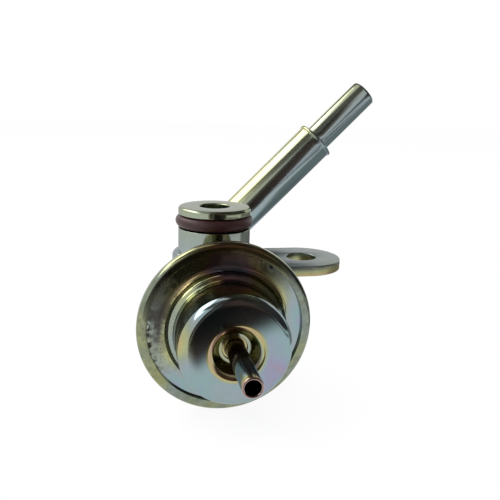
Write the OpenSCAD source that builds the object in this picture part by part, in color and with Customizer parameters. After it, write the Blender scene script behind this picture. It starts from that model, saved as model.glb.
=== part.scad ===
// Fuel pressure regulator: a crimped diaphragm can, a spigot inlet with an O-ring, a bolt bracket and
// a bent return tube. The origin is on the inlet axis at the bracket's top face. +Z runs up the inlet,
// +X points to the bolt hole and -Y along the vacuum nipple, which lies on the can's axis.

/* [Can] */
// Outside diameter of the crimped rim
rim_d = 38; // [36:0.5:44]
// Width of the folded lip seen from the front
lip_w = 2.2; // [1.8:0.1:2.6]
// Sheet thickness of the spring cover
cover_t = 0.8; // [0.6:0.1:1]
// Sheet thickness of the rear housing
housing_t = 0.8; // [0.6:0.1:1]
// Outside diameter of the spring cup
cup_d = 23; // [21.6:0.2:23.6]
// Height of the cup's edge in front of the rim's middle plane
cup_h = 14.6; // [13:0.2:18]
// Rounding of the cup's front edge
cup_edge_r = 2.1; // [1.2:0.1:3]
// Rise of the cup's face from its edge to the recess
face_rise = 0.4; // [0:0.1:0.8]
// Diameter of the shoulder ring at the cup's foot
shoulder_d = 25; // [24.6:0.2:26]
// Height of the shoulder ring in front of the rim's middle plane
shoulder_h = 2.8; // [2.4:0.1:3.4]
// Mouth diameter of the funnel recess round the nipple
recess_d = 10; // [9.4:0.1:10.6]
// Floor diameter of the funnel recess
recess_floor_d = 6.6; // [6.4:0.1:7]
// Depth of the funnel recess
recess_depth = 3.1; // [2.6:0.1:3.4]
// Depth of the fuel chamber behind the rim's middle plane
chamber_depth = 6; // [5.4:0.1:6.6]
// Outside diameter of the fuel chamber
chamber_d = 27; // [25:0.5:29]
// Outside diameter of the barrel behind the chamber
barrel_d = 16.4; // [16:0.1:18]
// Distance from the rim's middle plane to the barrel's rear wall
barrel_reach = 27.2; // [26.4:0.2:30]

/* [Vacuum nipple] */
// Outside diameter of the nipple
nipple_d = 4; // [3.4:0.1:4.4]
// Bore of the nipple
nipple_bore = 3; // [2:0.1:3.2]
// Distance from the rim's middle plane to the nipple's tip
nipple_reach = 29.5; // [24:0.5:36]

/* [Inlet port] */
// Distance from the rim's middle plane back to the inlet axis
inlet_back = 17.7; // [17.4:0.1:18.2]
// Height of the port's flat top above the bracket
port_h = 12.75; // [12:0.25:16]
// Diameter of the lands on each side of the O-ring
land_d = 17; // [16.4:0.1:18]
// Rounding round the flat top
top_round_r = 0.65; // [0.3:0.05:0.9]
// Height of the straight land above the O-ring
top_land = 1.1; // [0.8:0.1:1.6]
// Diameter of the collar on the bracket
collar_d = 19.8; // [19:0.1:21]
// Height of the collar
collar_h = 2.3; // [1.6:0.1:3]
// Bore through the port
inlet_bore = 7; // [5:0.1:7.6]
// Diameter of the neck through the bracket and the barrel's wall
neck_d = 11; // [10:0.1:11.6]
// Thickness of the O-ring's section
oring_t = 3; // [2.6:0.1:3.2]
// Inside diameter of the O-ring
oring_in_d = 12.3; // [11.8:0.1:12.6]

/* [Bracket] */
// Thickness of the bracket plate
bracket_t = 2.4; // [2:0.1:3]
// Width of the bracket plate
bracket_w = 19; // [17:0.5:20]
// Distance from the inlet axis to the bolt hole
bolt_x = 21.7; // [20:0.1:26]
// Diameter of the bolt hole
bolt_d = 7.2; // [6.4:0.1:8.4]

/* [Return tube] */
// Outside diameter of the tube
tube_d = 11.2; // [10.4:0.1:11.6]
// Bore of the tube up to the step
tube_bore = 8.6; // [8.4:0.1:9]
// Outside diameter of the hose end
hose_d = 8; // [7.2:0.1:8.4]
// Bore of the hose end
hose_bore = 6; // [5:0.1:6.4]
// Diameter of the lip at the step
tube_lip_d = 11.9; // [11.7:0.1:12.6]
// Thickness of the lip at the step
tube_lip_t = 1; // [0.6:0.1:1.6]
// Distance from the rim's middle plane back to the plane of the tube's slanted run
tube_back = 57; // [54:0.5:62]
// Bend radius on the tube's middle line
tube_bend_r = 18; // [15:0.5:20]
// Slant of the run above the horizontal
tube_slant = 45; // [20:1:70]
// Distance from the can's axis to the lip
tube_step = 50.8; // [40:0.5:60]
// Length of the hose end beyond the lip
hose_len = 20.2; // [14:0.2:26]
// Rounding of the hose end's tip
tube_tip_r = 0.7; // [0.3:0.05:0.9]

/* [Valve] */
// Thickness of the diaphragm
diaphragm_t = 0.6; // [0.5:0.05:0.8]
// Thickness of the two diaphragm plates
plate_t = 0.9; // [0.7:0.05:1.1]
// Wire thickness of the main spring
spring_wire = 1.9; // [1.6:0.05:2]
// Open turns of the main spring
spring_turns = 2.6; // [2:0.1:2.8]
// Diameter of the stem that rivets the plates together
stem_d = 4.4; // [3.6:0.1:5]
// Thickness of the washer under the riveted head
washer_t = 0.6; // [0.4:0.05:0.9]
// Diameter of the valve holder
holder_d = 9.2; // [8.8:0.1:9.6]
// Diameter of the ball behind the valve disc
ball_d = 2.6; // [2.2:0.1:2.8]
// Diameter of the valve disc's nose
disc_nose_d = 5.6; // [5.2:0.1:6]
// Bore of the valve seat
seat_bore = 3; // [2:0.1:3.6]
// Outside diameter of the valve seat's tube
seat_tube_d = 8; // [7.4:0.1:8.2]

/* [Hidden] */
$fn = 96;

// Clearances between pieces that are brazed or pressed, slipped together or folded round an edge
fit = 0.05;
slip = 0.1;
hair = 0.01;
// Overrun of a cutting tool
cut = 1;

// Can's axis, measured from the origin
barrel_r = barrel_d / 2;
axis_drop = bracket_t + fit + barrel_r;

// Layers of the crimped rim, along the can's axis from the rim's middle plane
rim_r = rim_d / 2;
stack = 2 * housing_t + diaphragm_t + cover_t;
flange_back = -stack / 2;
clamp_back = flange_back + housing_t;
clamp_front = clamp_back + diaphragm_t;
cover_face = clamp_front + cover_t;
fold_face = cover_face + housing_t;
fold_in_r = 0.3;
clamp_r = rim_r - housing_t - fold_in_r;

// Spring cover, with inside radii for its drawn edges
cup_r = cup_d / 2;
shoulder_r = shoulder_d / 2;
shoulder_taper = 0.5;
shoulder_step = 0.5;
shoulder_in_r = 0.3;
shoulder_foot_r = min(1.7, 0.85 * (shoulder_h - cover_face));
cup_face = cup_h + face_rise;
recess_floor = cup_face - recess_depth;
recess_in_r = 0.6;
recess_foot_r = 0.3;

// Vacuum nipple, seated behind the recess floor
foot_step = 0.6;
foot_sink = 0.4;
foot_taper = 0.1;
nipple_foot_r = nipple_d / 2 + foot_step;
cover_hole_r = nipple_foot_r + fit;
nipple_flange_t = 0.8;
nipple_flange_w = 0.8;
nipple_flange_r = cover_hole_r + nipple_flange_w;
nipple_tip_r = 0.24 * (nipple_d - nipple_bore);

// Rear housing, with inside radii for its drawn edges
chamber_taper = 0.6;
chamber_slope = 1;
chamber_foot_r = 0.8;
chamber_in_r = 1;
barrel_in_r = 1;

// Moving plates and valve, along the can's axis
spring_seat = clamp_front + plate_t;
rivet_t = 0.8;
rivet_w = 1;
rivet_taper = 0.6;
rivet_r = stem_d / 2 + rivet_w;
washer_w = 0.3;
holder_face = clamp_back - plate_t;
holder_len = 3.8;
pocket_roof = 1;
pocket_wall = 0.9;
pocket_floor = holder_face - pocket_roof;
holder_end = holder_face - holder_len;
pocket_r = holder_d / 2 - pocket_wall;
ball_r = ball_d / 2;
ball_seat = 0.5;
ball_mid = pocket_floor + ball_seat - ball_r;
disc_face = ball_mid - ball_r + ball_seat;
disc_flange_t = 0.8;
disc_nose_r = disc_nose_d / 2;
disc_gap = 0.2;
disc_proud = 0.3;
retainer_t = 0.5;
retainer_gap = 1;
disc_end = holder_end - retainer_t - disc_proud;
ball_wire = 0.36;
ball_coil_gap = 0.5;

// Main spring, located inside by the recess and outside by the spring plate's edge
spring_front = cup_h - cover_t;
spring_in_gap = 0.75;
spring_out_gap = 0.15;
spring_r = recess_d / 2 + spring_in_gap + spring_wire / 2;
plate_lip_r = spring_r + spring_wire / 2 + spring_out_gap;
plate_edge_r = plate_lip_r + plate_t;
plate_lip_h = 1.6;
plate_in_r = 0.2;

// Diaphragm roll, between the plates' edge and the shoulder ring
roll_in_gap = 0.3;
roll_out_gap = 0.4;
roll_in_r = plate_edge_r + roll_in_gap;
roll_out_r = shoulder_r - cover_t - roll_out_gap;

// Return tube and valve seat
tube_r = tube_d / 2;
tube_inset = 1.4;
tube_lip_r = 0.4 * tube_lip_t;
tube_front = barrel_reach - housing_t - tube_inset;
bend_start = tube_back - tube_bend_r;
seat_spigot = 5;
seat_nose_wall = 0.7;
seat_nose_r = seat_bore / 2 + seat_nose_wall;
seat_nose_h = 2;

// Inlet port
land_r = land_d / 2;
groove_top = port_h - top_round_r - top_land;
groove_w = oring_t + 2 * slip;
groove_r = oring_in_d / 2 - fit;
collar_round = (collar_d - land_d) / 2;
neck_gap = 1;
neck_drop = axis_drop - seat_tube_d / 2 - neck_gap;

zinc = [0.64, 0.66, 0.55];
zinc_gold = [0.72, 0.68, 0.45];
steel = [0.62, 0.63, 0.65];
fkm_maroon = [0.32, 0.14, 0.15];
black_rubber = [0.1, 0.1, 0.11];

// Direction helpers for outlines
function unit(v) = v / norm(v);
function left_of(v) = [-v[1], v[0]];
function flat(p) = [p[0], p[1]];

// Points of an arc of radius r that rounds the corner b between a and c
function corner(a, b, c, r, steps = 6) =
    let (u = unit(a - b), v = unit(c - b), half = acos(u * v) / 2,
         mid = b + unit(u + v) * r / sin(half),
         s = b + u * r / tan(half) - mid, e = b + v * r / tan(half) - mid,
         a0 = atan2(s[1], s[0]), turn = atan2(s[0] * e[1] - s[1] * e[0], s * e))
    [for (i = [0:steps]) mid + r * [cos(a0 + turn * i / steps), sin(a0 + turn * i / steps)]];

// Open line through points [r, z, rounding]
function rounded(p) =
    [for (i = [0:len(p) - 1]) each
        (i == 0 || i == len(p) - 1 || p[i][2] == 0) ? [flat(p[i])]
        : corner(flat(p[i - 1]), flat(p[i]), flat(p[i + 1]), p[i][2])];

// Mitred normal of a line at point i
function mitre(p, i) =
    let (a = unit(p[max(i, 1)] - p[max(i, 1) - 1]),
         b = unit(p[min(i, len(p) - 2) + 1] - p[min(i, len(p) - 2)]),
         m = unit(left_of(a) + left_of(b)))
    m / (m * left_of(a));

// Closed outline of a sheet of thickness t on the right of a line
function sheet(p, t) = concat(p, [for (i = [len(p) - 1:-1:0]) p[i] - t * mitre(p, i)]);

// Can's frame: z forward from the rim's middle plane towards the nipple
module on_can_axis() {
    translate([0, -inlet_back, -axis_drop]) rotate([90, 0, 0]) children();
}

// Ring or disc between two heights
module ring(r_out, r_in, low, high) {
    translate([0, 0, low]) difference() {
        cylinder(r = r_out, h = high - low);
        if (r_in > 0) translate([0, 0, -cut]) cylinder(r = r_in, h = high - low + 2 * cut);
    }
}

// Coil spring with one closed turn at each end, between the heights low and high
module coil(mid_r, wire, turns, low, high, sides = 8, steps = 18) {
    rings = round((turns + 2) * steps);
    closed = wire * 1.03;
    rise = (high - low - wire - 2 * closed) / turns;
    function height(t) = low + wire / 2 + (t < 1 ? t * closed
        : t < turns + 1 ? closed + (t - 1) * rise : closed + turns * rise + (t - 1 - turns) * closed);
    points = [for (i = [0:rings]) let (t = (turns + 2) * i / rings, a = 360 * t)
        for (k = [0:sides - 1]) let (w = 360 * k / sides, r = mid_r + wire / 2 * cos(w))
            [r * cos(a), r * sin(a), height(t) + wire / 2 * sin(w)]];
    walls = [for (i = [0:rings - 1]) for (k = [0:sides - 1]) let (n = (k + 1) % sides)
        [i * sides + k, (i + 1) * sides + k, (i + 1) * sides + n, i * sides + n]];
    first = [for (k = [0:sides - 1]) k];
    last = [for (k = [sides - 1:-1:0]) rings * sides + k];
    polyhedron(points, concat([first, last], walls), convexity = 10);
}

// Drawn cover: flange, shoulder ring, cup and the funnel recess round the nipple
module spring_cover() {
    line = rounded([
        [clamp_r, cover_face, 0],
        [shoulder_r + shoulder_taper, cover_face, shoulder_foot_r],
        [shoulder_r, shoulder_h, cover_t + shoulder_in_r],
        [cup_r, shoulder_h + shoulder_step, shoulder_step],
        [cup_r, cup_h, cup_edge_r],
        [recess_d / 2, cup_face, cover_t + recess_in_r],
        [recess_floor_d / 2, recess_floor, recess_foot_r],
        [cover_hole_r, recess_floor, 0]]);
    color(zinc) on_can_axis() rotate_extrude() polygon(sheet(line, -cover_t));
}

// Straight tube with a rounded tip, flanged behind the recess floor
module vacuum_nipple() {
    seat = recess_floor - cover_t;
    foot_top = recess_floor - foot_sink;
    color(zinc_gold) on_can_axis() rotate_extrude() polygon(rounded([
        [nipple_bore / 2, seat - nipple_flange_t, 0],
        [nipple_flange_r, seat - nipple_flange_t, 0],
        [nipple_flange_r, seat, 0],
        [nipple_foot_r, seat, 0],
        [nipple_foot_r, foot_top, 0],
        [nipple_d / 2 + foot_taper, foot_top, 0],
        [nipple_d / 2, cup_face, 0],
        [nipple_d / 2, nipple_reach, nipple_tip_r],
        [nipple_bore / 2, nipple_reach, nipple_tip_r],
        [nipple_bore / 2, seat, 0]]));
}

// Drawn housing: lip folded over the cover's flange, fuel chamber and barrel
module rear_housing() {
    fold_r = rim_r - clamp_r - hair;
    line = rounded([
        [rim_r - lip_w, fold_face, 0],
        [rim_r, fold_face, fold_r],
        [rim_r, flange_back, fold_r],
        [chamber_d / 2, flange_back, chamber_foot_r],
        [chamber_d / 2 - chamber_taper, -chamber_depth, housing_t + chamber_in_r],
        [barrel_r, -chamber_depth - chamber_slope, chamber_foot_r],
        [barrel_r, -barrel_reach, housing_t + barrel_in_r],
        [tube_r + fit, -barrel_reach, 0]]);
    color(zinc) difference() {
        on_can_axis() rotate_extrude() polygon(sheet(line, housing_t));
        translate([0, 0, -axis_drop]) cylinder(d = neck_d + 2 * fit, h = axis_drop);
    }
}

// Flat plate with two round ends, pierced for the neck and the bolt
module mounting_bracket() {
    color(zinc) translate([0, 0, -bracket_t]) linear_extrude(bracket_t) difference() {
        union() {
            circle(d = bracket_w);
            translate([bolt_x, 0]) circle(d = bracket_w);
            translate([0, -bracket_w / 2]) square([bolt_x, bracket_w]);
        }
        circle(d = neck_d + 2 * fit);
        translate([bolt_x, 0]) circle(d = bolt_d);
    }
}

// Turned spigot: neck, rounded collar, two lands with the O-ring groove between them
module inlet_port() {
    color(zinc_gold) difference() {
        rotate_extrude() polygon(rounded([
            [0, -neck_drop, 0],
            [neck_d / 2, -neck_drop, 0],
            [neck_d / 2, 0, 0],
            [collar_d / 2, 0, 0],
            [collar_d / 2, collar_h, collar_round],
            [land_r, collar_h, 0],
            [land_r, groove_top - groove_w, 0],
            [groove_r, groove_top - groove_w, 0],
            [groove_r, groove_top, 0],
            [land_r, groove_top, 0],
            [land_r, port_h, top_round_r],
            [0, port_h, 0]]));
        translate([0, 0, -neck_drop - cut]) cylinder(d = inlet_bore, h = neck_drop + port_h + 2 * cut);
    }
}

// Round-section seal in the spigot's groove
module o_ring() {
    color(fkm_maroon) translate([0, 0, groove_top - groove_w / 2])
        rotate_extrude() translate([oring_in_d / 2 + oring_t / 2, 0]) circle(d = oring_t);
}

// One run of the tube's path: straight back, a quarter bend, then out along the slant
module tube_run(d, from_back, out_to) {
    rotate([0, 0, tube_slant]) {
        translate([0, 0, -bend_start]) cylinder(d = d, h = bend_start - from_back);
        translate([tube_bend_r, 0, -bend_start]) rotate([-90, 0, 180])
            rotate_extrude(angle = 90) translate([tube_bend_r, 0]) circle(d = d);
        translate([tube_bend_r, 0, -tube_back]) rotate([0, 90, 0])
            cylinder(d = d, h = out_to - tube_bend_r);
    }
}

// Bent tube with a stepped hose end and a lip at the step
module return_tube() {
    tip = hose_len + tube_lip_t;
    color(zinc) on_can_axis() difference() {
        union() {
            tube_run(tube_d, tube_front, tube_step);
            rotate([0, 0, tube_slant]) translate([tube_step, 0, -tube_back]) rotate([0, 90, 0])
                rotate_extrude() polygon(rounded([
                    [0, 0, 0],
                    [tube_lip_d / 2, 0, tube_lip_r],
                    [tube_lip_d / 2, tube_lip_t, tube_lip_r],
                    [hose_d / 2, tube_lip_t, 0],
                    [hose_d / 2, tip, tube_tip_r],
                    [0, tip, 0]]));
        }
        translate([0, 0, -tube_front - cut]) cylinder(d = tube_bore, h = 2 * cut);
        tube_run(tube_bore, tube_front, tube_step - cut);
        rotate([0, 0, tube_slant]) translate([tube_step - 2 * cut, 0, -tube_back])
            rotate([0, 90, 0]) cylinder(d = hose_bore, h = tip + 3 * cut);
    }
}

// Turned seat pressed into the return tube, with a narrow nose under the valve disc
module valve_seat() {
    nose_foot = disc_end - seat_nose_h;
    color(steel) on_can_axis() rotate_extrude() polygon([
        [seat_bore / 2, disc_end],
        [seat_nose_r, disc_end],
        [seat_tube_d / 2, nose_foot],
        [seat_tube_d / 2, -tube_front],
        [tube_bore / 2 - fit, -tube_front],
        [tube_bore / 2 - fit, -tube_front - seat_spigot],
        [seat_bore / 2, -tube_front - seat_spigot]]);
}

// Moulded rubber and fabric disc with one roll, clamped in the rim and between the plates
module diaphragm() {
    roll_mid = [(roll_in_r + roll_out_r) / 2, clamp_front];
    roll_r = (roll_out_r - roll_in_r) / 2;
    line = concat(
        [[stem_d / 2 + fit, clamp_front]],
        [for (a = [180:-15:0]) roll_mid + roll_r * [cos(a), sin(a)]],
        [[clamp_r, clamp_front]]);
    color(black_rubber) on_can_axis() rotate_extrude() polygon(sheet(line, diaphragm_t));
}

// Round-wire compression spring between the cup's face and the spring plate
module main_spring() {
    color(steel) on_can_axis() coil(spring_r, spring_wire, spring_turns, spring_seat, spring_front);
}

// Pressed cup on the diaphragm's air side that carries the main spring
module spring_plate() {
    line = rounded([
        [stem_d / 2 + fit, clamp_front, 0],
        [plate_edge_r, clamp_front, plate_t + plate_in_r],
        [plate_edge_r, spring_seat + plate_lip_h, 0]]);
    color(zinc_gold) on_can_axis() rotate_extrude() polygon(sheet(line, -plate_t));
}

// Flat plate on the diaphragm's fuel side
module pressure_plate() {
    color(steel) on_can_axis() ring(plate_edge_r, stem_d / 2 + fit, holder_face, clamp_back);
}

// Turned holder riveted through the plates, with a pocket for the ball and the disc
module valve_holder() {
    head = spring_seat + washer_t;
    color(steel) on_can_axis() difference() {
        union() {
            ring(holder_d / 2, 0, holder_end, holder_face);
            ring(stem_d / 2, 0, holder_face, head);
            translate([0, 0, head]) cylinder(r1 = rivet_r, r2 = rivet_r - rivet_taper, h = rivet_t);
        }
        ring(pocket_r, 0, holder_end - cut, pocket_floor);
        translate([0, 0, ball_mid]) sphere(r = ball_r + fit);
    }
}

// Washer under the riveted head
module holder_washer() {
    color(steel) on_can_axis()
        ring(rivet_r + washer_w, stem_d / 2 + fit, spring_seat, spring_seat + washer_t);
}

// Ball that lets the disc lie flat on its seat
module valve_ball() {
    color(steel) on_can_axis() translate([0, 0, ball_mid]) sphere(d = ball_d);
}

// Flanged disc with a socket for the ball
module valve_disc() {
    color(steel) on_can_axis() difference() {
        union() {
            ring(pocket_r - disc_gap, 0, disc_face - disc_flange_t, disc_face);
            ring(disc_nose_r, 0, disc_end, disc_face);
        }
        translate([0, 0, ball_mid]) sphere(r = ball_r + fit);
    }
}

// Light coil round the ball that holds the disc out against the retainer
module ball_spring() {
    color(steel) on_can_axis() coil(pocket_r - ball_coil_gap, ball_wire, 1, disc_face, pocket_floor, 6, 16);
}

// Pressed cap round the holder that keeps the disc in its pocket
module ball_retainer() {
    color(zinc_gold) on_can_axis() {
        ring(holder_d / 2 + fit + retainer_t, holder_d / 2 + fit, holder_end, holder_face - retainer_gap);
        ring(holder_d / 2 + fit + retainer_t, disc_nose_r + disc_gap, holder_end - retainer_t, holder_end);
    }
}

spring_cover();
vacuum_nipple();
rear_housing();
mounting_bracket();
inlet_port();
o_ring();
return_tube();
valve_seat();
diaphragm();
main_spring();
spring_plate();
pressure_plate();
valve_holder();
holder_washer();
valve_ball();
valve_disc();
ball_spring();
ball_retainer();
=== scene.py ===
import math

import bmesh
import bpy
from mathutils import Matrix, Vector


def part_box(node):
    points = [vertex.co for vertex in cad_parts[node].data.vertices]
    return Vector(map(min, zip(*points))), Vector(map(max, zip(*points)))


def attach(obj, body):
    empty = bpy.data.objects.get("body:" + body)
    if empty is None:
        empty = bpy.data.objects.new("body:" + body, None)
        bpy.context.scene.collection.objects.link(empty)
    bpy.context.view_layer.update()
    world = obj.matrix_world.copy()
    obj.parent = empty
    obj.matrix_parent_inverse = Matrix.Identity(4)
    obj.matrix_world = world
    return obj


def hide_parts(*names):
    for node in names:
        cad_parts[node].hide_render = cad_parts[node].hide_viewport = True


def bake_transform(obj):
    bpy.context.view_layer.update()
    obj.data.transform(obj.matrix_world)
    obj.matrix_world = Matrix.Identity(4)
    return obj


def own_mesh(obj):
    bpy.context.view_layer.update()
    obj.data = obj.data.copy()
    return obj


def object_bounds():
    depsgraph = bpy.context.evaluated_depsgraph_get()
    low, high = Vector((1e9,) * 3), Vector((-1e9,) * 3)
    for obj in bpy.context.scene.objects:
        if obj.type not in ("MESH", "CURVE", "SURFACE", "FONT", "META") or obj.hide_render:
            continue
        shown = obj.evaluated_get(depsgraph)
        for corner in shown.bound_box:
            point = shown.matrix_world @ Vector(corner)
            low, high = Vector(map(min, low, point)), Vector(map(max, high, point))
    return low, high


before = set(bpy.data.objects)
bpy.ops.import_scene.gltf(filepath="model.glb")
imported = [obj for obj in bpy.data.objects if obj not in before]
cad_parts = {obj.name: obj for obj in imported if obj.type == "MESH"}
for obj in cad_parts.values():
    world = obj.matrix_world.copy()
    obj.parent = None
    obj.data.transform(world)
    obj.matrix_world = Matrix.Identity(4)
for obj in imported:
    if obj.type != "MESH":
        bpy.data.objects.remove(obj)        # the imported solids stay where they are
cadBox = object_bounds()
mm = 0.001
scene = bpy.context.scene
scene.view_settings.view_transform = "Standard"

housingLow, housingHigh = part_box("rear_housing")
coverLow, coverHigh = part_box("spring_cover")
portLow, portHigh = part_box("inlet_port")
bracketLow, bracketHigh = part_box("mounting_bracket")
tubeLow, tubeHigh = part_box("return_tube")
canAxisZ = (housingLow.z + housingHigh.z) / 2
rimRadius = (housingHigh.x - housingLow.x) / 2
print("stage: frame loaded, rim radius", round(rimRadius / mm, 2), "mm")


# outlines: points are (across, along, corner radius) in metres

def roundedLine(points, steps=10):
    line = []
    for index, point in enumerate(points):
        here = Vector(point[:2])
        radius = point[2] if len(point) > 2 else 0
        if radius == 0 or index in (0, len(points) - 1):
            line.append(here)
            continue
        toPrevious = (Vector(points[index - 1][:2]) - here).normalized()
        toNext = (Vector(points[index + 1][:2]) - here).normalized()
        half = math.acos(max(-1, min(1, toPrevious.dot(toNext)))) / 2
        centre = here + (toPrevious + toNext).normalized() * radius / math.sin(half)
        first = here + toPrevious * radius / math.tan(half) - centre
        last = here + toNext * radius / math.tan(half) - centre
        turn = math.atan2(first.x * last.y - first.y * last.x, first.dot(last))
        start = math.atan2(first.y, first.x)
        for step in range(steps + 1):
            angle = start + turn * step / steps
            line.append(centre + radius * Vector((math.cos(angle), math.sin(angle))))
    return line


def noseArc(corner, start, end, steps=8):
    # quarter round that takes the corner off, from start to end
    centre = start + end - corner
    return [centre + (start - centre) * math.cos(math.pi / 2 * s / steps)
            + (end - centre) * math.sin(math.pi / 2 * s / steps) for s in range(1, steps)]


def sheetOutline(line, thickness):
    # closed outline of a sheet on the right of a line, or on the left where thickness is negative
    other = []
    for index, point in enumerate(line):
        before = (line[max(index, 1)] - line[max(index, 1) - 1]).normalized()
        after = (line[min(index, len(line) - 2) + 1] - line[min(index, len(line) - 2)]).normalized()
        leftBefore = Vector((-before.y, before.x))
        mitre = (leftBefore + Vector((-after.y, after.x))).normalized()
        other.append(point - thickness * mitre / mitre.dot(leftBefore))
    return line + other[::-1]


def canPlace(across, along, angle):
    # along runs forward from the rim's middle plane
    return Vector((across * math.cos(angle), rimY - along, canAxisZ + across * math.sin(angle)))


def portPlace(across, along, angle):
    return Vector((across * math.cos(angle), across * math.sin(angle), along))


def cleanMesh(mesh, weld):
    work = bmesh.new()
    work.from_mesh(mesh)
    bmesh.ops.remove_doubles(work, verts=work.verts, dist=weld)
    bmesh.ops.recalc_face_normals(work, faces=work.faces)
    work.to_mesh(mesh)
    work.free()


def evaluatedMesh(piece):
    return bpy.data.meshes.new_from_object(piece.evaluated_get(bpy.context.evaluated_depsgraph_get()))


def finishMesh(name, points, faces, material, sharpAngle=32):
    mesh = bpy.data.meshes.new(name)
    mesh.from_pydata([tuple(p) for p in points], [], faces)
    cleanMesh(mesh, 1e-7)
    piece = bpy.data.objects.new(name, mesh)
    scene.collection.objects.link(piece)
    dressMesh(piece, material, sharpAngle)
    return piece


def dressMesh(piece, material, sharpAngle=32):
    piece.data.materials.clear()
    piece.data.materials.append(material)
    piece.data.shade_smooth()
    piece.data.set_sharp_from_angle(angle=math.radians(sharpAngle))


def lathe(name, outline, place, material, segments=200, sharpAngle=32):
    count = len(outline)
    points = [place(p.x, p.y, math.tau * s / segments) for s in range(segments) for p in outline]
    faces = []
    for s in range(segments):
        after = (s + 1) % segments
        for k in range(count):
            n = (k + 1) % count
            faces.append((s * count + k, s * count + n, after * count + n, after * count + k))
    return finishMesh(name, points, faces, material, sharpAngle)


def standFor(piece, body, node):
    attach(piece, body)
    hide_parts(node)
    print("stage:", piece.name, len(piece.data.polygons), "faces")


# materials: every pattern reads Object coordinates, in metres

def newMaterial(name):
    material = bpy.data.materials.new(name)
    material.use_nodes = True
    return material, material.node_tree, material.node_tree.nodes["Principled BSDF"]


def addNode(tree, kind, values=None, **settings):
    node = tree.nodes.new(kind)
    for key, value in settings.items():
        setattr(node, key, value)
    for key, value in (values or {}).items():
        node.inputs[key].default_value = value
    return node


def addMath(tree, operation, *values, clamp=False):
    node = addNode(tree, "ShaderNodeMath", operation=operation, use_clamp=clamp)
    for socket, value in zip(node.inputs, values):
        if isinstance(value, (int, float)):
            socket.default_value = value
        else:
            tree.links.new(value, socket)
    return node.outputs[0]


def addNoise(tree, coords, scale, detail=3, stretch=(1, 1, 1), offset=(0, 0, 0)):
    place = addNode(tree, "ShaderNodeMapping", {"Scale": stretch, "Location": offset})
    noise = addNode(tree, "ShaderNodeTexNoise", {"Scale": scale, "Detail": detail})
    tree.links.new(coords, place.inputs["Vector"])
    tree.links.new(place.outputs["Vector"], noise.inputs["Vector"])
    return noise.outputs["Fac"]


def addRamp(tree, source, stops):
    ramp = addNode(tree, "ShaderNodeValToRGB")
    elements = ramp.color_ramp.elements
    while len(elements) < len(stops):
        elements.new(0.5)
    for element, (place, colour) in zip(elements, stops):
        element.position = place
        element.color = (*colour, 1)
    tree.links.new(source, ramp.inputs["Fac"])
    return ramp.outputs["Color"]


def addMix(tree, share, first, second):
    mix = addNode(tree, "ShaderNodeMix", data_type="RGBA")
    for socket, value in ((mix.inputs[0], share), (mix.inputs[6], first), (mix.inputs[7], second)):
        if isinstance(value, (int, float)):
            socket.default_value = value
        elif isinstance(value, tuple):
            socket.default_value = (*value, 1)
        else:
            tree.links.new(value, socket)
    return mix.outputs[2]


def addBump(tree, shader, height, strength, distance):
    bump = addNode(tree, "ShaderNodeBump", {"Strength": strength, "Distance": distance})
    tree.links.new(height, bump.inputs["Height"])
    tree.links.new(bump.outputs["Normal"], shader.inputs["Normal"])


def addSpot(tree, coords, centre, reach, core=0.0):
    # 1 inside the core, falling to 0 at the reach
    far = addNode(tree, "ShaderNodeVectorMath", operation="DISTANCE")
    far.inputs[1].default_value = centre
    tree.links.new(coords, far.inputs[0])
    fall = addNode(tree, "ShaderNodeMapRange", {"From Min": reach, "From Max": core})
    tree.links.new(far.outputs["Value"], fall.inputs["Value"])
    return fall.outputs["Result"]


def addRing(tree, coords, radius, along, reach, core=0.0):
    # 1 near a circle round the can's axis, falling to 0 at the reach
    part = addNode(tree, "ShaderNodeSeparateXYZ")
    tree.links.new(coords, part.inputs["Vector"])
    rise = addMath(tree, "SUBTRACT", part.outputs["Z"], canAxisZ)
    square = addMath(tree, "MULTIPLY", part.outputs["X"], part.outputs["X"])
    across = addMath(tree, "SQRT", addMath(tree, "MULTIPLY_ADD", rise, rise, square))
    flat = addNode(tree, "ShaderNodeCombineXYZ")
    tree.links.new(across, flat.inputs["X"])
    tree.links.new(part.outputs["Y"], flat.inputs["Y"])
    return addSpot(tree, flat.outputs["Vector"], (radius, along, 0.0), reach, core)


# passivation film from thin to thick, as it colours bright zinc
filmColours = [
    (0.00, (0.26, 0.39, 0.40)),   # teal
    (0.16, (0.31, 0.37, 0.40)),   # blue grey
    (0.30, (0.31, 0.36, 0.29)),   # grey green
    (0.45, (0.42, 0.44, 0.22)),   # yellow green
    (0.60, (0.50, 0.39, 0.18)),   # gold
    (0.74, (0.42, 0.29, 0.31)),   # rose
    (0.88, (0.31, 0.31, 0.44)),   # lilac
    (1.00, (0.26, 0.39, 0.41)),   # second teal
]


# what every plated finish shares
plating = {
    "mottleScale": 700, "grimeShadeStart": 0.46, "grimeShadeGain": 7.0, "grimeShadeRough": 0.3,
    "scratchScale": 900, "scratchOffset": (3, 1, 2), "scratchStart": 0.66, "scratchGain": 8.0,
    "bumpDistance": 0.04 * mm,
}


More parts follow.
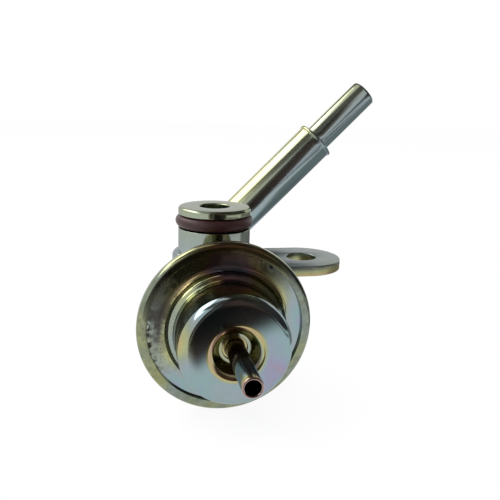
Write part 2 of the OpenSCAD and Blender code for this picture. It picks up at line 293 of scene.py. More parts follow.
def zincFinish(name, look):
    material, tree, shader = newMaterial(name)
    coords = addNode(tree, "ShaderNodeTexCoord").outputs["Object"]
    lean = addNode(tree, "ShaderNodeVectorMath", operation="DOT_PRODUCT")
    lean.inputs[1].default_value = look["filmLean"]
    tree.links.new(coords, lean.inputs[0])
    cloud = addNoise(tree, coords, look["cloudScale"], 2, offset=look["cloudOffset"])
    filmLow = look["filmStart"] - look["cloudAmount"] / 2
    film = addMath(tree, "MULTIPLY_ADD", cloud, look["cloudAmount"], filmLow)
    film = addMath(tree, "ADD", film, lean.outputs["Value"])
    for pool in look["pools"]:
        share = addSpot(tree, coords, pool["centre"], pool["reach"], pool.get("core", 0.0))
        film = addMath(tree, "MULTIPLY_ADD", share, pool["shift"], film)
    for ring in look["rings"]:
        share = addRing(tree, coords, ring["radius"], ring["along"], ring["reach"], ring["core"])
        film = addMath(tree, "MULTIPLY_ADD", share, ring["shift"], film)
    colour = addRamp(tree, addMath(tree, "FLOORED_MODULO", film, 1.0), filmColours)
    mottle = addNoise(tree, coords, plating["mottleScale"], 4)
    colour = addMix(tree, addMath(tree, "MULTIPLY", mottle, look["mottle"]), colour, look["mottleColour"])
    rough = addMath(tree, "MULTIPLY_ADD", mottle, look["roughSpread"], look["roughness"])
    # grime, and painted shade in the lip's crease and the left fillet: each entry darkens the colour towards
    # its own where its noise and spot meet
    for spot in look["grimeAndShade"]:
        grimeShadeMask = addMath(tree, "SUBTRACT", addNoise(tree, coords, spot["grain"], 5), plating["grimeShadeStart"])
        grimeShadeMask = addMath(tree, "MULTIPLY", grimeShadeMask, plating["grimeShadeGain"], clamp=True)
        share = addMath(tree, "MULTIPLY", grimeShadeMask, addSpot(tree, coords, spot["centre"], spot["reach"]))
        share = addMath(tree, "MULTIPLY", share, spot["amount"], clamp=True)
        if "ring" in spot:
            share = addMath(tree, "MULTIPLY", share, addRing(tree, coords, *spot["ring"]))
        colour = addMix(tree, share, colour, spot["colour"])
        rough = addMath(tree, "MULTIPLY_ADD", share, plating["grimeShadeRough"], rough)
    tree.links.new(colour, shader.inputs["Base Color"])
    tree.links.new(rough, shader.inputs["Roughness"])
    shader.inputs["Metallic"].default_value = 1.0
    shader.inputs["Specular Tint"].default_value = (*look["edgeTint"], 1)
    grain = addNoise(tree, coords, look["grainScale"], 4, stretch=look["grainStretch"])
    scratch = addNoise(tree, coords, plating["scratchScale"], 2, look["scratchStretch"],
                       plating["scratchOffset"])
    scratch = addMath(tree, "SUBTRACT", scratch, plating["scratchStart"])
    scratch = addMath(tree, "MULTIPLY", scratch, plating["scratchGain"], clamp=True)
    height = addMath(tree, "MULTIPLY_ADD", scratch, -look["scratchDepth"], grain)
    if "tornEdge" in look:
        torn = look["tornEdge"]
        place = addNode(tree, "ShaderNodeSeparateXYZ")
        tree.links.new(coords, place.inputs["Vector"])
        below = addNode(tree, "ShaderNodeMapRange", {"From Min": torn["top"], "From Max": torn["low"]})
        tree.links.new(place.outputs["Z"], below.inputs["Value"])
        rip = addNoise(tree, coords, torn["grain"], 4, stretch=torn["stretch"])
        rip = addMath(tree, "MULTIPLY", rip, below.outputs["Result"])
        height = addMath(tree, "MULTIPLY_ADD", rip, torn["depth"], height)
    addBump(tree, shader, height, look["grainDepth"], plating["bumpDistance"])
    return material


# turning marks of bare steel
steelMarks = {
    "scale": 400, "stretch": (1, 12, 1), "shade": 0.8, "roughSpread": 0.15, "depth": 0.15,
    "bumpDistance": 0.03 * mm,
}


def plainSteel(name, colour, roughness):
    material, tree, shader = newMaterial(name)
    coords = addNode(tree, "ShaderNodeTexCoord").outputs["Object"]
    turned = addNoise(tree, coords, steelMarks["scale"], 3, stretch=steelMarks["stretch"])
    shaded = tuple(c * steelMarks["shade"] for c in colour)
    tree.links.new(addMix(tree, turned, colour, shaded), shader.inputs["Base Color"])
    rough = addMath(tree, "MULTIPLY_ADD", turned, steelMarks["roughSpread"], roughness)
    tree.links.new(rough, shader.inputs["Roughness"])
    shader.inputs["Metallic"].default_value = 1.0
    addBump(tree, shader, turned, steelMarks["depth"], steelMarks["bumpDistance"])
    return material


# cloudy bloom and fine grain of moulded rubber
rubberMarks = {
    "bloomScale": 260, "roughSpread": 0.18, "shine": 0.36, "grainScale": 2600, "depth": 0.12,
    "bumpDistance": 0.03 * mm,
}


def rubberFinish(name, colour, bloom, roughness):
    material, tree, shader = newMaterial(name)
    coords = addNode(tree, "ShaderNodeTexCoord").outputs["Object"]
    cloud = addNoise(tree, coords, rubberMarks["bloomScale"], 4)
    tree.links.new(addMix(tree, cloud, colour, bloom), shader.inputs["Base Color"])
    shader.inputs["Specular IOR Level"].default_value = rubberMarks["shine"]
    rough = addMath(tree, "MULTIPLY_ADD", cloud, rubberMarks["roughSpread"], roughness)
    tree.links.new(rough, shader.inputs["Roughness"])
    grain = addNoise(tree, coords, rubberMarks["grainScale"], 3)
    addBump(tree, shader, grain, rubberMarks["depth"], rubberMarks["bumpDistance"])
    return material


# film thickness starts at filmStart, leans along x, y, z, and is shifted in rings and pools (metres)
canLook = {
    "filmStart": 0.517, "filmLean": (-5.0, 16.5, 0.0), "cloudScale": 110, "cloudAmount": 0.7,
    "cloudOffset": (0.0, 0.0, 0.0), "mottle": 0.22, "mottleColour": (0.20, 0.20, 0.17),
    "roughness": 0.09, "roughSpread": 0.05, "grainScale": 1500, "grainStretch": (1, 1, 1),
    "grainDepth": 0.03, "scratchStretch": (6, 1, 0.4), "scratchDepth": 0.6, "edgeTint": (0.75, 0.75, 0.75),
    "rings": [
        {"radius": 0.0136, "along": -0.0189, "reach": 0.0016, "core": 0.0004, "shift": 0.15},
        {"radius": 0.0038, "along": -0.0312, "reach": 0.0030, "core": 0.0021, "shift": 0.35},
        {"radius": 0.0056, "along": -0.0326, "reach": 0.0010, "core": 0.0003, "shift": 0.30},
    ],
    "pools": [
        {"centre": (-0.0105, -0.0310, -0.0085), "reach": 0.0065, "shift": 0.38},
        {"centre": (0.0185, -0.0180, -0.012), "reach": 0.0090, "shift": -0.20},
        {"centre": (-0.0130, -0.0180, -0.024), "reach": 0.0080, "shift": -0.40},
        {"centre": (-0.0020, -0.0188, 0.0050), "reach": 0.0130, "shift": 0.55},
        {"centre": (0.0040, -0.0260, 0.0010), "reach": 0.0110, "shift": 0.6},
        {"centre": (0.0085, -0.0323, -0.0135), "reach": 0.0065, "shift": -0.12},
        {"centre": (0.0115, -0.0189, -0.0030), "reach": 0.0060, "shift": 0.22},
    ],
    "grimeAndShade": [
        # dark line along the lip's inner edge at the left: grime plus painted shade of the crease
        {"centre": (-0.0164, -0.0186, -0.0120), "reach": 0.0090, "grain": 700, "amount": 2.4,
         "ring": (0.0165, -0.0186, 0.0008, 0.0002), "colour": (0.03, 0.026, 0.022)},
        # painted shade in the fillet's valley at the left, behind the lip
        {"centre": (-0.0130, -0.0190, -0.0060), "reach": 0.0150, "grain": 260, "amount": 1.1,
         "ring": (0.0139, -0.0190, 0.0018, 0.0007), "colour": (0.11, 0.10, 0.06)},
        {"centre": (-0.0050, -0.0188, 0.0020), "reach": 0.0220, "grain": 180, "amount": 0.9,
         "ring": (0.0158, -0.0186, 0.0026, 0.0012), "colour": (0.17, 0.145, 0.12)},
        {"centre": (-0.0155, -0.0186, -0.0095), "reach": 0.0080, "grain": 240, "amount": 1.5,
         "ring": (0.0153, -0.0186, 0.0022, 0.0011), "colour": (0.13, 0.128, 0.115)},
        # dark line along the lip's inner edge at the top right: grime plus painted shade of the crease
        {"centre": (0.0085, -0.0186, 0.0036), "reach": 0.0050, "grain": 500, "amount": 2.0,
         "ring": (0.0164, -0.0186, 0.0009, 0.0003), "colour": (0.03, 0.028, 0.03)},
        {"centre": (-0.0145, -0.0185, -0.009), "reach": 0.0075, "grain": 1500, "amount": 0.3,
         "colour": (0.05, 0.04, 0.035)},
        {"centre": (-0.0135, -0.0185, -0.017), "reach": 0.006, "grain": 1700, "amount": 0.3,
         "colour": (0.07, 0.05, 0.04)},
    ],
}
plainLook = dict(canLook, pools=[], rings=[], grimeAndShade=[])      # plated, without the can's film rings and pools, grime and painted shade
housingLook = dict(canLook, filmStart=0.70, filmLean=(-3.0, 19.5, 0.0), rings=[], mottle=0.9,
                   mottleColour=(0.10, 0.11, 0.07), edgeTint=(0.95, 0.95, 0.95),
                   pools=[{"centre": (0.0, -0.0188, 0.0070), "reach": 0.0150, "shift": 0.36}])
portLook = dict(plainLook, filmStart=0.15, filmLean=(2.0, 0.0, 16.0), cloudScale=80, cloudAmount=0.2,
                cloudOffset=(0.2, 0.1, 0.3), roughness=0.1, grainStretch=(1, 1, 6), scratchDepth=0.1,
                edgeTint=(0.7, 0.7, 0.7))
bracketLook = dict(plainLook, filmStart=0.16, filmLean=(2.0, 0.0, -180.0), cloudScale=90, cloudAmount=0.25,
                   cloudOffset=(0.5, 0.2, 0.1), mottle=0.4, roughness=0.26, grainScale=900, grainDepth=0.3,
                   tornEdge={"top": -0.0002, "low": -0.0008, "grain": 900, "stretch": (1, 1, 0.3),
                             "depth": 5.0})
tubeLook = dict(plainLook, filmStart=0.547, filmLean=(-35.0, 0.0, 35.0), cloudScale=60, cloudAmount=0.2,
                cloudOffset=(0.1, 0.4, 0.2), roughness=0.15, roughSpread=0.03, grainDepth=0.015,
                scratchDepth=0.1, edgeTint=(1, 1, 1))
nippleLook = dict(plainLook, filmStart=-0.764, filmLean=(6.0, -44.0, 0.0), cloudScale=120, cloudAmount=0.15,
                  cloudOffset=(0.7, 0.3, 0.6), roughness=0.1, scratchDepth=0.1,
                  pools=[{"centre": (0.0, -0.0475, -0.01065), "core": 0.0020, "reach": 0.0030, "shift": 0.4}])

zincCan = zincFinish("zincCan", canLook)
zincHousing = zincFinish("zincHousing", housingLook)
zincPort = zincFinish("zincPort", portLook)
zincBracket = zincFinish("zincBracket", bracketLook)
zincTube = zincFinish("zincTube", tubeLook)
zincNipple = zincFinish("zincNipple", nippleLook)
turnedSteel = plainSteel("turnedSteel", (0.60, 0.60, 0.61), 0.25)
springSteel = plainSteel("springSteel", (0.42, 0.42, 0.44), 0.3)
maroonRubber = rubberFinish("maroonRubber", (0.026, 0.007, 0.007), (0.052, 0.016, 0.017), 0.34)
blackRubber = rubberFinish("blackRubber", (0.02, 0.02, 0.022), (0.04, 0.04, 0.042), 0.6)
print("stage: finishes made")


# can

canSize = {
    "sheet": 0.8 * mm, "gasket": 0.6 * mm, "lipWidth": 2.2 * mm, "lipNose": 0.12 * mm, "foldRadius": 0.3 * mm,
    "cupRadius": 11.5 * mm, "cupHeight": 14.6 * mm, "cupEdge": 2.1 * mm, "cupFoot": 0.5 * mm,
    "shoulderRadius": 12.5 * mm, "shoulderHeight": 2.8 * mm, "shoulderFoot": 1.7 * mm,
    "shoulderLean": 0.5 * mm, "shoulderRise": 0.5 * mm, "shoulderBend": 0.3 * mm,
    "recessRadius": 5.0 * mm, "recessFloor": 3.3 * mm, "recessDepth": 3.1 * mm, "recessLip": 1.4 * mm,
    "recessCorner": 0.3 * mm, "nippleHole": 2.65 * mm,
    "chamberRadius": 13.5 * mm, "chamberDepth": 6.0 * mm, "chamberLean": 0.6 * mm, "chamberSlope": 1.0 * mm,
    "barrelRadius": 8.2 * mm, "innerCorner": 0.8 * mm, "drawRadius": 1.0 * mm,
    "tubeHole": 5.65 * mm, "neckHole": 5.55 * mm,
}
sheet = canSize["sheet"]
stackHalf = (3 * sheet + canSize["gasket"]) / 2
rimY = housingLow.y + stackHalf
foldFace = stackHalf
flangeBack = -stackHalf
coverFace = foldFace - sheet
cupFace = rimY - coverLow.y
barrelReach = housingHigh.y - rimY
recessFloor = cupFace - canSize["recessDepth"]


def buildSpringCover(size):
    line = roundedLine([
        ((coverHigh.x - coverLow.x) / 2, coverFace),
        (size["shoulderRadius"] + size["shoulderLean"], coverFace, size["shoulderFoot"]),
        (size["shoulderRadius"], size["shoulderHeight"], sheet + size["shoulderBend"]),
        (size["cupRadius"], size["shoulderHeight"] + size["shoulderRise"], size["cupFoot"]),
        (size["cupRadius"], size["cupHeight"], size["cupEdge"]),
        (size["recessRadius"], cupFace, size["recessLip"]),
        (size["recessFloor"], recessFloor, size["recessCorner"]),
        (size["nippleHole"], recessFloor)], steps=14)
    cover = lathe("springCover", sheetOutline(line, -sheet), canPlace, zincCan)
    standFor(cover, "regulator", "spring_cover")


def cutHole(piece, cutter):
    cut = piece.modifiers.new("hole", "BOOLEAN")
    cut.operation = "DIFFERENCE"
    cut.object = cutter
    cut.solver = "EXACT"
    made = evaluatedMesh(piece)
    piece.modifiers.remove(cut)
    piece.data = made
    bpy.data.objects.remove(cutter)


def buildRearHousing(size):
    fold = sheet + size["foldRadius"]
    lipEnd = rimRadius - size["lipWidth"]
    line = roundedLine([
        (lipEnd + size["lipNose"], foldFace),
        (rimRadius, foldFace, fold),
        (rimRadius, flangeBack, fold),
        (size["chamberRadius"], flangeBack, size["innerCorner"]),
        (size["chamberRadius"] - size["chamberLean"], -size["chamberDepth"], sheet + size["drawRadius"]),
        (size["barrelRadius"], -size["chamberDepth"] - size["chamberSlope"], size["innerCorner"]),
        (size["barrelRadius"], -barrelReach, sheet + size["drawRadius"]),
        (size["tubeHole"], -barrelReach)], steps=12)
    outline = sheetOutline(line, sheet) + [Vector((lipEnd, coverFace))]
    nose = Vector((lipEnd, foldFace - size["lipNose"]))
    outline += [nose] + noseArc(Vector((lipEnd, foldFace)), nose, line[0])
    housing = lathe("rearHousing", outline, canPlace, zincHousing)
    hole = size["neckHole"]
    plug = [Vector(p) for p in ((0, canAxisZ), (hole, canAxisZ), (hole, 0), (0, 0))]
    cutter = lathe("neckCutter", plug, portPlace, zincHousing, 96)
    cutHole(housing, cutter)
    dressMesh(housing, zincHousing)
    standFor(housing, "regulator", "rear_housing")


nippleSize = {
    "radius": 2.0 * mm, "bore": 1.5 * mm, "foot": 2.6 * mm, "footSink": 0.4 * mm, "footTaper": 0.1 * mm,
    "footEdge": 0.1 * mm, "flange": 3.45 * mm, "flangeThick": 0.8 * mm, "tipRound": 0.24 * mm,
}


def buildNipple(size):
    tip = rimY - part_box("vacuum_nipple")[0].y
    seat = recessFloor - sheet
    footTop = recessFloor - size["footSink"]
    line = roundedLine([
        (size["bore"], seat - size["flangeThick"]),
        (size["flange"], seat - size["flangeThick"]),
        (size["flange"], seat),
        (size["foot"], seat),
        (size["foot"], footTop, size["footEdge"]),
        (size["radius"] + size["footTaper"], footTop, size["footEdge"]),
        (size["radius"], cupFace),
        (size["radius"], tip, size["tipRound"]),
        (size["bore"], tip, size["tipRound"]),
        (size["bore"], seat)], steps=8)
    nipple = lathe("vacuumNipple", line, canPlace, zincNipple, 96)
    standFor(nipple, "regulator", "vacuum_nipple")


buildSpringCover(canSize)
buildRearHousing(canSize)
buildNipple(nippleSize)


# inlet port with its seal

portSize = {
    "land": 8.5 * mm, "collarHeight": 2.3 * mm, "neck": 5.5 * mm, "bore": 3.5 * mm,
    "topRound": 0.65 * mm, "topLand": 1.1 * mm, "grooveWidth": 3.2 * mm, "grooveFloor": 6.1 * mm,
    "grooveCorner": 0.2 * mm, "landEdge": 0.15 * mm, "boreEdge": 0.25 * mm, "collarStep": 0.1 * mm,
    "collarCorner": 0.08 * mm, "boreFoot": 1.0 * mm,
}
sealSize = {"section": 1.5 * mm, "inner": 6.15 * mm, "flash": 0.05 * mm, "flashWidth": 0.07}


def buildInletPort(size):
    grooveTop = portHigh.z - size["topRound"] - size["topLand"]
    grooveLow = grooveTop - size["grooveWidth"]
    collar = (portHigh.x - portLow.x) / 2
    line = roundedLine([
        (size["bore"], portLow.z),
        (size["neck"], portLow.z),
        (size["neck"], 0),
        (collar, 0),
        (collar, size["collarHeight"], collar - size["land"] - size["collarStep"]),
        (size["land"], size["collarHeight"], size["collarCorner"]),
        (size["land"], grooveLow, size["landEdge"]),
        (size["grooveFloor"], grooveLow, size["grooveCorner"]),
        (size["grooveFloor"], grooveTop, size["grooveCorner"]),
        (size["land"], grooveTop, size["landEdge"]),
        (size["land"], portHigh.z, size["topRound"]),
        (size["bore"], portHigh.z, size["boreEdge"]),
        (size["bore"], portLow.z + size["boreFoot"])], steps=8)
    port = lathe("inletPort", line, portPlace, zincPort)
    standFor(port, "regulator", "inlet_port")


def buildSeal(size, steps=72):
    low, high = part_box("o_ring")
    middle = (low.z + high.z) / 2
    outline = []
    for step in range(steps):
        turn = math.tau * step / steps
        side = min(abs(turn), abs(turn - math.tau), abs(turn - math.pi))
        flash = size["flash"] * math.exp(-(side / size["flashWidth"]) ** 2)
        radius = size["section"] + flash - size["flash"]
        outline.append(Vector((size["inner"] + size["section"] + radius * math.cos(turn),
                               middle + radius * math.sin(turn))))
    seal = lathe("sealRing", outline, portPlace, maroonRubber, 160, 60)
    standFor(seal, "regulator", "o_ring")


buildInletPort(portSize)
buildSeal(sealSize)


# bracket plate

bracketSize = {"boltX": 21.7 * mm, "boltRadius": 3.6 * mm, "neckRadius": 5.55 * mm, "edgeRound": 0.22 * mm}


def obround(length, radius, steps=48):
    right = [(length + radius * math.sin(math.pi * s / steps), -radius * math.cos(math.pi * s / steps))
             for s in range(steps + 1)]
    left = [(-radius * math.sin(math.pi * s / steps), radius * math.cos(math.pi * s / steps))
            for s in range(steps + 1)]
    return right + left


def circlePoints(x, radius, steps=72):
    return [(x + radius * math.cos(math.tau * s / steps), radius * math.sin(math.tau * s / steps))
            for s in range(steps)]


def buildBracket(size):
    half = (bracketHigh.y - bracketLow.y) / 2
    edge = size["edgeRound"]
    curve = bpy.data.curves.new("bracketOutline", "CURVE")
    curve.dimensions = "2D"
    curve.fill_mode = "BOTH"
    loops = [obround(size["boltX"], half - edge),
             circlePoints(size["boltX"], size["boltRadius"] + edge),
             circlePoints(0, size["neckRadius"] + edge)]
    for loop in loops:
        spline = curve.splines.new("POLY")
        spline.points.add(len(loop) - 1)
        for point, (x, y) in zip(spline.points, loop):
            point.co = (x, y, 0, 1)
        spline.use_cyclic_u = True
    curve.extrude = (bracketHigh.z - bracketLow.z) / 2 - edge
    curve.bevel_depth = edge
    curve.bevel_resolution = 4
    holder = bpy.data.objects.new("bracketCurve", curve)
    scene.collection.objects.link(holder)
    mesh = evaluatedMesh(holder)
    mesh.transform(Matrix.Translation((0, 0, (bracketLow.z + bracketHigh.z) / 2)))
    bpy.data.objects.remove(holder)
    bracket = bpy.data.objects.new("bracketPlate", mesh)
    scene.collection.objects.link(bracket)
    cleanMesh(mesh, 1e-6)
    dressMesh(bracket, zincBracket, 28)
    standFor(bracket, "regulator", "mounting_bracket")


buildBracket(bracketSize)


# return tube, swept along its middle line

tubeSize = {
    "radius": 5.6 * mm, "bore": 4.3 * mm, "hose": 4.0 * mm, "hoseBore": 3.0 * mm, "lip": 5.95 * mm,
    "lipThick": 1.0 * mm, "lipRound": 0.4 * mm, "lipCorner": 0.1 * mm, "hoseLength": 20.2 * mm,
    "hoseCorner": 0.3 * mm, "tipRound": 0.7 * mm, "tipEdge": 0.2 * mm, "bend": 18.0 * mm, "step": 50.8 * mm,
    "slant": math.radians(45), "neckBack": 1.0 * mm, "neckCone": 0.4 * mm, "ringGap": 1.5 * mm,
}


def buildReturnTube(size):
    slantY = tubeHigh.y - size["lip"]      # the lip is the widest ring
    out = Vector((math.cos(size["slant"]), 0, math.sin(size["slant"])))
    across = Vector((-math.sin(size["slant"]), 0, math.cos(size["slant"])))
    bendStart = slantY - size["bend"]
    arcLength = size["bend"] * math.pi / 2
    runStart = bendStart - tubeLow.y
    base = Vector((0, tubeLow.y, canAxisZ))

    def ringFrame(along):
        if along <= runStart:
            return base + Vector((0, along, 0)), out
        turn = min((along - runStart) / size["bend"], math.pi / 2)
        centre = Vector((0, bendStart, canAxisZ)) + out * size["bend"]
        arm = -out * math.cos(turn) + Vector((0, 1, 0)) * math.sin(turn)
        rest = max(along - runStart - arcLength, 0)
        return centre + arm * size["bend"] + out * rest, -arm

    stepAt = runStart + arcLength + size["step"] - size["bend"]
    tipAt = stepAt + size["lipThick"] + size["hoseLength"]
    outer = roundedLine([
        (size["radius"], 0),
        (size["radius"], stepAt, size["lipCorner"]),
        (size["lip"], stepAt, size["lipRound"]),
        (size["lip"], stepAt + size["lipThick"], size["lipRound"]),
        (size["hose"], stepAt + size["lipThick"], size["hoseCorner"]),
        (size["hose"], tipAt, size["tipRound"]),
        (size["hoseBore"], tipAt, size["tipEdge"]),
        (size["hoseBore"], stepAt - size["neckBack"]),
        (size["bore"], stepAt - size["neckBack"] - size["neckCone"]),
        (size["bore"], 0)], steps=8)
    outline = []
    for here, after in zip(outer, outer[1:] + outer[:1]):
        outline.append(here)
        length = (after - here).length
        parts = max(1, round(length / size["ringGap"]))
        outline += [here.lerp(after, part / parts) for part in range(1, parts)]

    def tubePlace(radius, along, angle):
        centre, inward = ringFrame(along)
        return centre + radius * (math.cos(angle) * inward + math.sin(angle) * across)

    tube = lathe("returnTube", outline, tubePlace, zincTube, 96)
    standFor(tube, "regulator", "return_tube")


buildReturnTube(tubeSize)


# springs, made by one node tree

springSize = {
    "main": {"radius": 6.7 * mm, "wire": 0.95 * mm, "turns": 4.6, "node": "main_spring", "body": "regulator"},
    "ball": {"radius": 3.2 * mm, "wire": 0.18 * mm, "turns": 3.0, "node": "ball_spring", "body": "valve"},
}


def springTree(material):
    tree = bpy.data.node_groups.new("coilSpring", "GeometryNodeTree")
    for label in ("Coil Radius", "Wire Radius", "Turns", "Length"):
        tree.interface.new_socket(label, in_out="INPUT", socket_type="NodeSocketFloat")
    tree.interface.new_socket("Mesh", in_out="OUTPUT", socket_type="NodeSocketGeometry")
    given = tree.nodes.new("NodeGroupInput")
    result = tree.nodes.new("NodeGroupOutput")
    spiral = tree.nodes.new("GeometryNodeCurveSpiral")
    spiral.inputs["Resolution"].default_value = 40
    circle = tree.nodes.new("GeometryNodeCurvePrimitiveCircle")
    circle.inputs["Resolution"].default_value = 14
    sweep = tree.nodes.new("GeometryNodeCurveToMesh")
    sweep.inputs["Fill Caps"].default_value = True
    realize = tree.nodes.new("GeometryNodeRealizeInstances")
    paint = tree.nodes.new("GeometryNodeSetMaterial")
    paint.inputs["Material"].default_value = material
    for source, target in (
            (given.outputs["Coil Radius"], spiral.inputs["Start Radius"]),
            (given.outputs["Coil Radius"], spiral.inputs["End Radius"]),
            (given.outputs["Turns"], spiral.inputs["Rotations"]),
            (given.outputs["Length"], spiral.inputs["Height"]),
            (given.outputs["Wire Radius"], circle.inputs["Radius"]),
            (spiral.outputs["Curve"], sweep.inputs["Curve"]),
            (circle.outputs["Curve"], sweep.inputs["Profile Curve"]),
            (sweep.outputs["Mesh"], realize.inputs["Geometry"]),
            (realize.outputs["Geometry"], paint.inputs["Geometry"]),
            (paint.outputs["Geometry"], result.inputs["Mesh"])):
        tree.links.new(source, target)
    return tree


def buildSpring(label, tree, size):
    low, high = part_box(size["node"])
    length = high.y - low.y - 2 * size["wire"]
    spring = bpy.data.objects.new(label + "Coil", bpy.data.meshes.new(label + "Coil"))
    scene.collection.objects.link(spring)
    made = spring.modifiers.new("coil", "NODES")
    made.node_group = tree
    names = {item.name: item.identifier for item in tree.interface.items_tree if item.in_out == "INPUT"}
    made[names["Coil Radius"]] = size["radius"]
    made[names["Wire Radius"]] = size["wire"]
    made[names["Turns"]] = size["turns"]
    made[names["Length"]] = length
    bpy.context.view_layer.update()
    mesh = evaluatedMesh(spring)
    spring.modifiers.remove(made)
    spring.data = mesh
    place = Matrix.Translation((0, high.y - size["wire"], canAxisZ))
    mesh.transform(place @ Matrix.Rotation(math.pi / 2, 4, "X"))
    dressMesh(spring, springSteel, 60)
    standFor(spring, size["body"], size["node"])
    return spring


coilTree = springTree(springSteel)
mainCoil = buildSpring("main", coilTree, springSize["main"])
buildSpring("ball", coilTree, springSize["ball"])
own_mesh(mainCoil)


# diaphragm, parted at the crest of its roll: the middle lifts with the plates, the rim stays in place

diaphragmSize = {"hole": 2.25 * mm, "rollIn": 9.0 * mm, "rollOut": 11.3 * mm, "rollSteps": 24}


def buildDiaphragm(size):
    clampFront = coverFace - sheet
    rollRadius = (size["rollOut"] - size["rollIn"]) / 2
    rollMiddle = Vector((size["rollIn"] + rollRadius, clampFront))
    turns = [math.pi * (1 - s / size["rollSteps"]) for s in range(size["rollSteps"] + 1)]
    line = [Vector((size["hole"], clampFront))]
    line += [rollMiddle + rollRadius * Vector((math.cos(turn), math.sin(turn))) for turn in turns]
    line += [Vector(((coverHigh.x - coverLow.x) / 2, clampFront))]
    outline = sheetOutline(line, canSize["gasket"])
    front, back = outline[:len(line)], outline[len(line):][::-1]
    crest = 1 + size["rollSteps"] // 2
    middle = lathe("diaphragmMiddle", front[:crest + 1] + back[crest::-1], canPlace, blackRubber, 120, 50)
    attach(middle, "valve")
    rim = lathe("diaphragmRim", front[crest:] + back[:crest - 1:-1], canPlace, blackRubber, 120, 50)
    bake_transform(rim)
    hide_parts("diaphragm")
    print("stage: diaphragm", len(middle.data.polygons) + len(rim.data.polygons), "faces")


buildDiaphragm(diaphragmSize)

innerFinish = {
    "valve_seat": turnedSteel, "spring_plate": zincNipple, "pressure_plate": turnedSteel,
    "valve_holder": turnedSteel, "holder_washer": turnedSteel,
    "valve_ball": turnedSteel, "valve_disc": turnedSteel, "ball_retainer": zincNipple,
}
for nodeName, material in innerFinish.items():
    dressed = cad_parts[nodeName]
    dressed.data.materials.clear()
    dressed.data.materials.append(material)
print("stage: inner pieces dressed")


# studio: white surround, pale floor, softboxes and dark cards that the plating mirrors

studio = {
    "floorSize": 3.0, "floorColour": (0.86, 0.87, 0.88, 1), "floorRough": 0.9, "floorGlow": 1.04,
    "floorShow": 0.86, "worldSoft": 0.75, "cardPatches": 9, "cardDarkAt": 0.38, "cardLightAt": 0.62,
    "cardAbove": 0.4 * mm,
}


def seenShare(tree):
    path = addNode(tree, "ShaderNodeLightPath")
    share = addMath(tree, "ADD", path.outputs["Is Camera Ray"], path.outputs["Is Glossy Ray"], clamp=True)
    return addMath(tree, "ADD", share, path.outputs["Is Transmission Ray"], clamp=True)


def buildWorld():
    world = bpy.data.worlds.new("studioWorld")
    scene.world = world
    world.use_nodes = True
    tree = world.node_tree
    background = tree.nodes["Background"]
    background.inputs["Color"].default_value = (1, 1, 1, 1)
    strength = addMath(tree, "MULTIPLY_ADD", seenShare(tree), 1 - studio["worldSoft"], studio["worldSoft"])
    tree.links.new(strength, background.inputs["Strength"])


def buildFloor():
    half = studio["floorSize"] / 2
    low = cadBox[0].z
    mesh = bpy.data.meshes.new("paleFloor")
    mesh.from_pydata([(-half, -half, low), (half, -half, low), (half, half, low), (-half, half, low)], [],
                     [(0, 1, 2, 3)])
    floor = bpy.data.objects.new("paleFloor", mesh)
    scene.collection.objects.link(floor)
    material, tree, shader = newMaterial("paleFloor")
    shader.inputs["Base Color"].default_value = studio["floorColour"]
    shader.inputs["Roughness"].default_value = studio["floorRough"]
    glow = addNode(tree, "ShaderNodeEmission", {"Color": (1, 1, 1, 1), "Strength": studio["floorGlow"]})
    mix = addNode(tree, "ShaderNodeMixShader")
    share = addMath(tree, "MULTIPLY", seenShare(tree), studio["floorShow"])
    tree.links.new(share, mix.inputs[0])
    tree.links.new(shader.outputs[0], mix.inputs[1])
    tree.links.new(glow.outputs[0], mix.inputs[2])
    tree.links.new(mix.outputs[0], tree.nodes["Material Output"].inputs["Surface"])
    mesh.materials.append(material)


def cardMaterial(card):
    material, tree, shader = newMaterial(card["name"])
    coords = addNode(tree, "ShaderNodeTexCoord").outputs["Object"]
    patches = addNoise(tree, coords, studio["cardPatches"], 2)
    stops = [(studio["cardDarkAt"], card["dark"]), (studio["cardLightAt"], card["light"])]
    tone = addRamp(tree, patches, stops)
    fade = addNode(tree, "ShaderNodeAttribute", attribute_name="fade")
    clear = addNode(tree, "ShaderNodeBsdfTransparent")
    glow = addNode(tree, "ShaderNodeEmission")
    mix = addNode(tree, "ShaderNodeMixShader")
    tree.links.new(tone, glow.inputs["Color"])
    tree.links.new(fade.outputs["Fac"], mix.inputs[0])
    tree.links.new(clear.outputs[0], mix.inputs[1])
    tree.links.new(glow.outputs[0], mix.inputs[2])
    tree.links.new(mix.outputs[0], tree.nodes["Material Output"].inputs["Surface"])
    return material


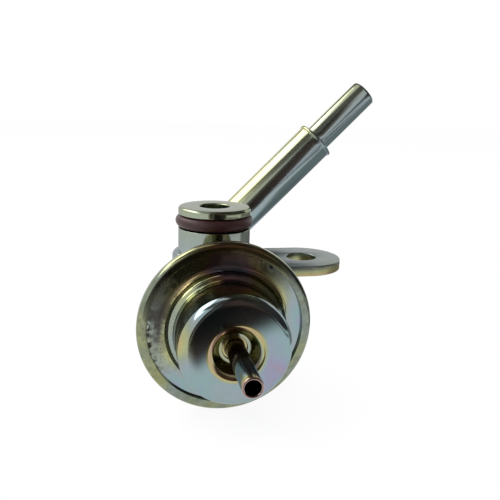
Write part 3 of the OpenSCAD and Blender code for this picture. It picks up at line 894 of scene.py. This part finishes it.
# curved cards round the cup's face, in degrees: bearing 0 is in front and positive to the right,
# the lower edge can climb with the bearing
darkCards = [
    {"name": "frontCard", "bearing": (-18, 38), "height": (-27.5, 92), "climb": 0.45, "soft": (6, 8),
     "distance": 0.12, "dark": (0.016, 0.014, 0.013), "light": (0.12, 0.078, 0.066)},
    {"name": "sleeveCard", "bearing": (-36, -12), "height": (-40, 80), "climb": -0.9, "soft": (6, 8),
     "distance": 0.121, "dark": (0.06, 0.046, 0.038), "light": (0.20, 0.15, 0.12)},
    {"name": "ceilingCard", "bearing": (10, 205), "height": (26, 97), "climb": 0.0, "soft": (14, 8),
     "distance": 0.5, "dark": (0.03, 0.028, 0.027), "light": (0.07, 0.065, 0.06)},
    {"name": "leftCeiling", "bearing": (-108, 16), "height": (40, 96), "climb": 0.0, "soft": (24, 10),
     "distance": 0.51, "dark": (0.10, 0.095, 0.09), "light": (0.20, 0.19, 0.18)},
    {"name": "shadeCard", "bearing": (20, 88), "height": (-9.4, -5.2), "climb": 0.0, "soft": (6, 1.6),
     "distance": 0.5, "dark": (0.10, 0.096, 0.09), "light": (0.18, 0.17, 0.16)},
    {"name": "farCard", "bearing": (26, 114), "height": (-4.8, 62), "climb": 0.0, "soft": (8, 3),
     "distance": 0.5, "dark": (0.03, 0.028, 0.027), "light": (0.09, 0.08, 0.075)},
    {"name": "rightFloor", "bearing": (84, 158), "height": (-16, -1.5), "climb": 0.0, "soft": (10, 2.5),
     "distance": 0.7, "dark": (0.28, 0.28, 0.27), "light": (0.42, 0.42, 0.41)},
]


def edgeFade(value, span, soft):
    inside = min(value - span[0], span[1] - value) / soft
    inside = max(0.0, min(1.0, inside))
    return inside * inside * (3 - 2 * inside)


def buildCard(card, steps=60):
    middle = Vector((0, rimY - cupFace, canAxisZ))
    floorGap = cadBox[0].z + studio["cardAbove"] - middle.z
    points, fades, faces = [], [], []
    for j in range(steps + 1):
        for i in range(steps + 1):
            way = card["bearing"][0] + (card["bearing"][1] - card["bearing"][0]) * i / steps
            bottom = card["height"][0] + card["climb"] * way
            up = bottom + (card["height"][1] - bottom) * j / steps
            flat = math.cos(math.radians(up))
            ray = Vector((math.sin(math.radians(way)) * flat, -math.cos(math.radians(way)) * flat,
                          math.sin(math.radians(up))))
            reach = card["distance"]
            if ray.z * reach < floorGap:
                reach = floorGap / ray.z
            points.append(middle + ray * reach)
            fades.append(edgeFade(way, card["bearing"], card["soft"][0])
                         * edgeFade(up, (bottom, card["height"][1]), card["soft"][1]))
    for j in range(steps):
        for i in range(steps):
            corner = j * (steps + 1) + i
            faces.append((corner, corner + 1, corner + steps + 2, corner + steps + 1))
    mesh = bpy.data.meshes.new(card["name"])
    mesh.from_pydata([tuple(p) for p in points], [], faces)
    mesh.attributes.new("fade", "FLOAT", "POINT").data.foreach_set("value", fades)
    mesh.materials.append(cardMaterial(card))
    sheetCard = bpy.data.objects.new(card["name"], mesh)
    scene.collection.objects.link(sheetCard)
    sheetCard.visible_camera = False
    sheetCard.visible_diffuse = False
    sheetCard.visible_shadow = False


softboxes = [
    {"name": "keySoftbox", "place": (-0.32, 0.105, 0.355), "size": (0.70, 0.25), "power": 1.9,
     "colour": (1.0, 0.98, 0.94)},
    {"name": "fillSoftbox", "place": (0.30, 0.20, 0.38), "size": (0.25, 0.25), "power": 0.5,
     "colour": (0.95, 0.97, 1.0)},
]


def buildSoftbox(box):
    lamp = bpy.data.lights.new(box["name"], "AREA")
    lamp.shape = "RECTANGLE"
    lamp.size, lamp.size_y = box["size"]
    lamp.energy = box["power"]
    lamp.color = box["colour"]
    light = bpy.data.objects.new(box["name"], lamp)
    scene.collection.objects.link(light)
    light.location = box["place"]
    light.rotation_euler = (Vector((0, 0, canAxisZ)) - light.location).to_track_quat("-Z", "Y").to_euler()


# camera fitted to the photograph's circles
view = {
    "azimuth": math.radians(-12.1), "elevation": math.radians(13.83), "roll": math.radians(1.72),
    "aim": (5.01 * mm, -17.7 * mm, 6.35 * mm), "distance": 130.15 * mm, "lens": 44.33, "sensor": 36.0,
    "nearest": 5.0 * mm,
}


def buildCamera():
    sinA, cosA = math.sin(view["azimuth"]), math.cos(view["azimuth"])
    sinE, cosE = math.sin(view["elevation"]), math.cos(view["elevation"])
    back = Vector((sinA * cosE, -cosA * cosE, sinE))
    level = Vector((cosA, sinA, 0))
    upright = back.cross(level)
    right = level * math.cos(view["roll"]) + upright * math.sin(view["roll"])
    up = upright * math.cos(view["roll"]) - level * math.sin(view["roll"])
    data = bpy.data.cameras.new("photoCamera")
    data.lens = view["lens"]
    data.sensor_width = view["sensor"]
    data.clip_start = view["nearest"]
    camera = bpy.data.objects.new("photoCamera", data)
    scene.collection.objects.link(camera)
    turn = Matrix((right, up, back)).transposed().to_4x4()
    camera.matrix_world = Matrix.Translation(Vector(view["aim"]) + back * view["distance"]) @ turn
    scene.camera = camera


buildWorld()
buildFloor()
for card in darkCards:
    buildCard(card)
for box in softboxes:
    buildSoftbox(box)
buildCamera()
print("stage: studio and camera set")
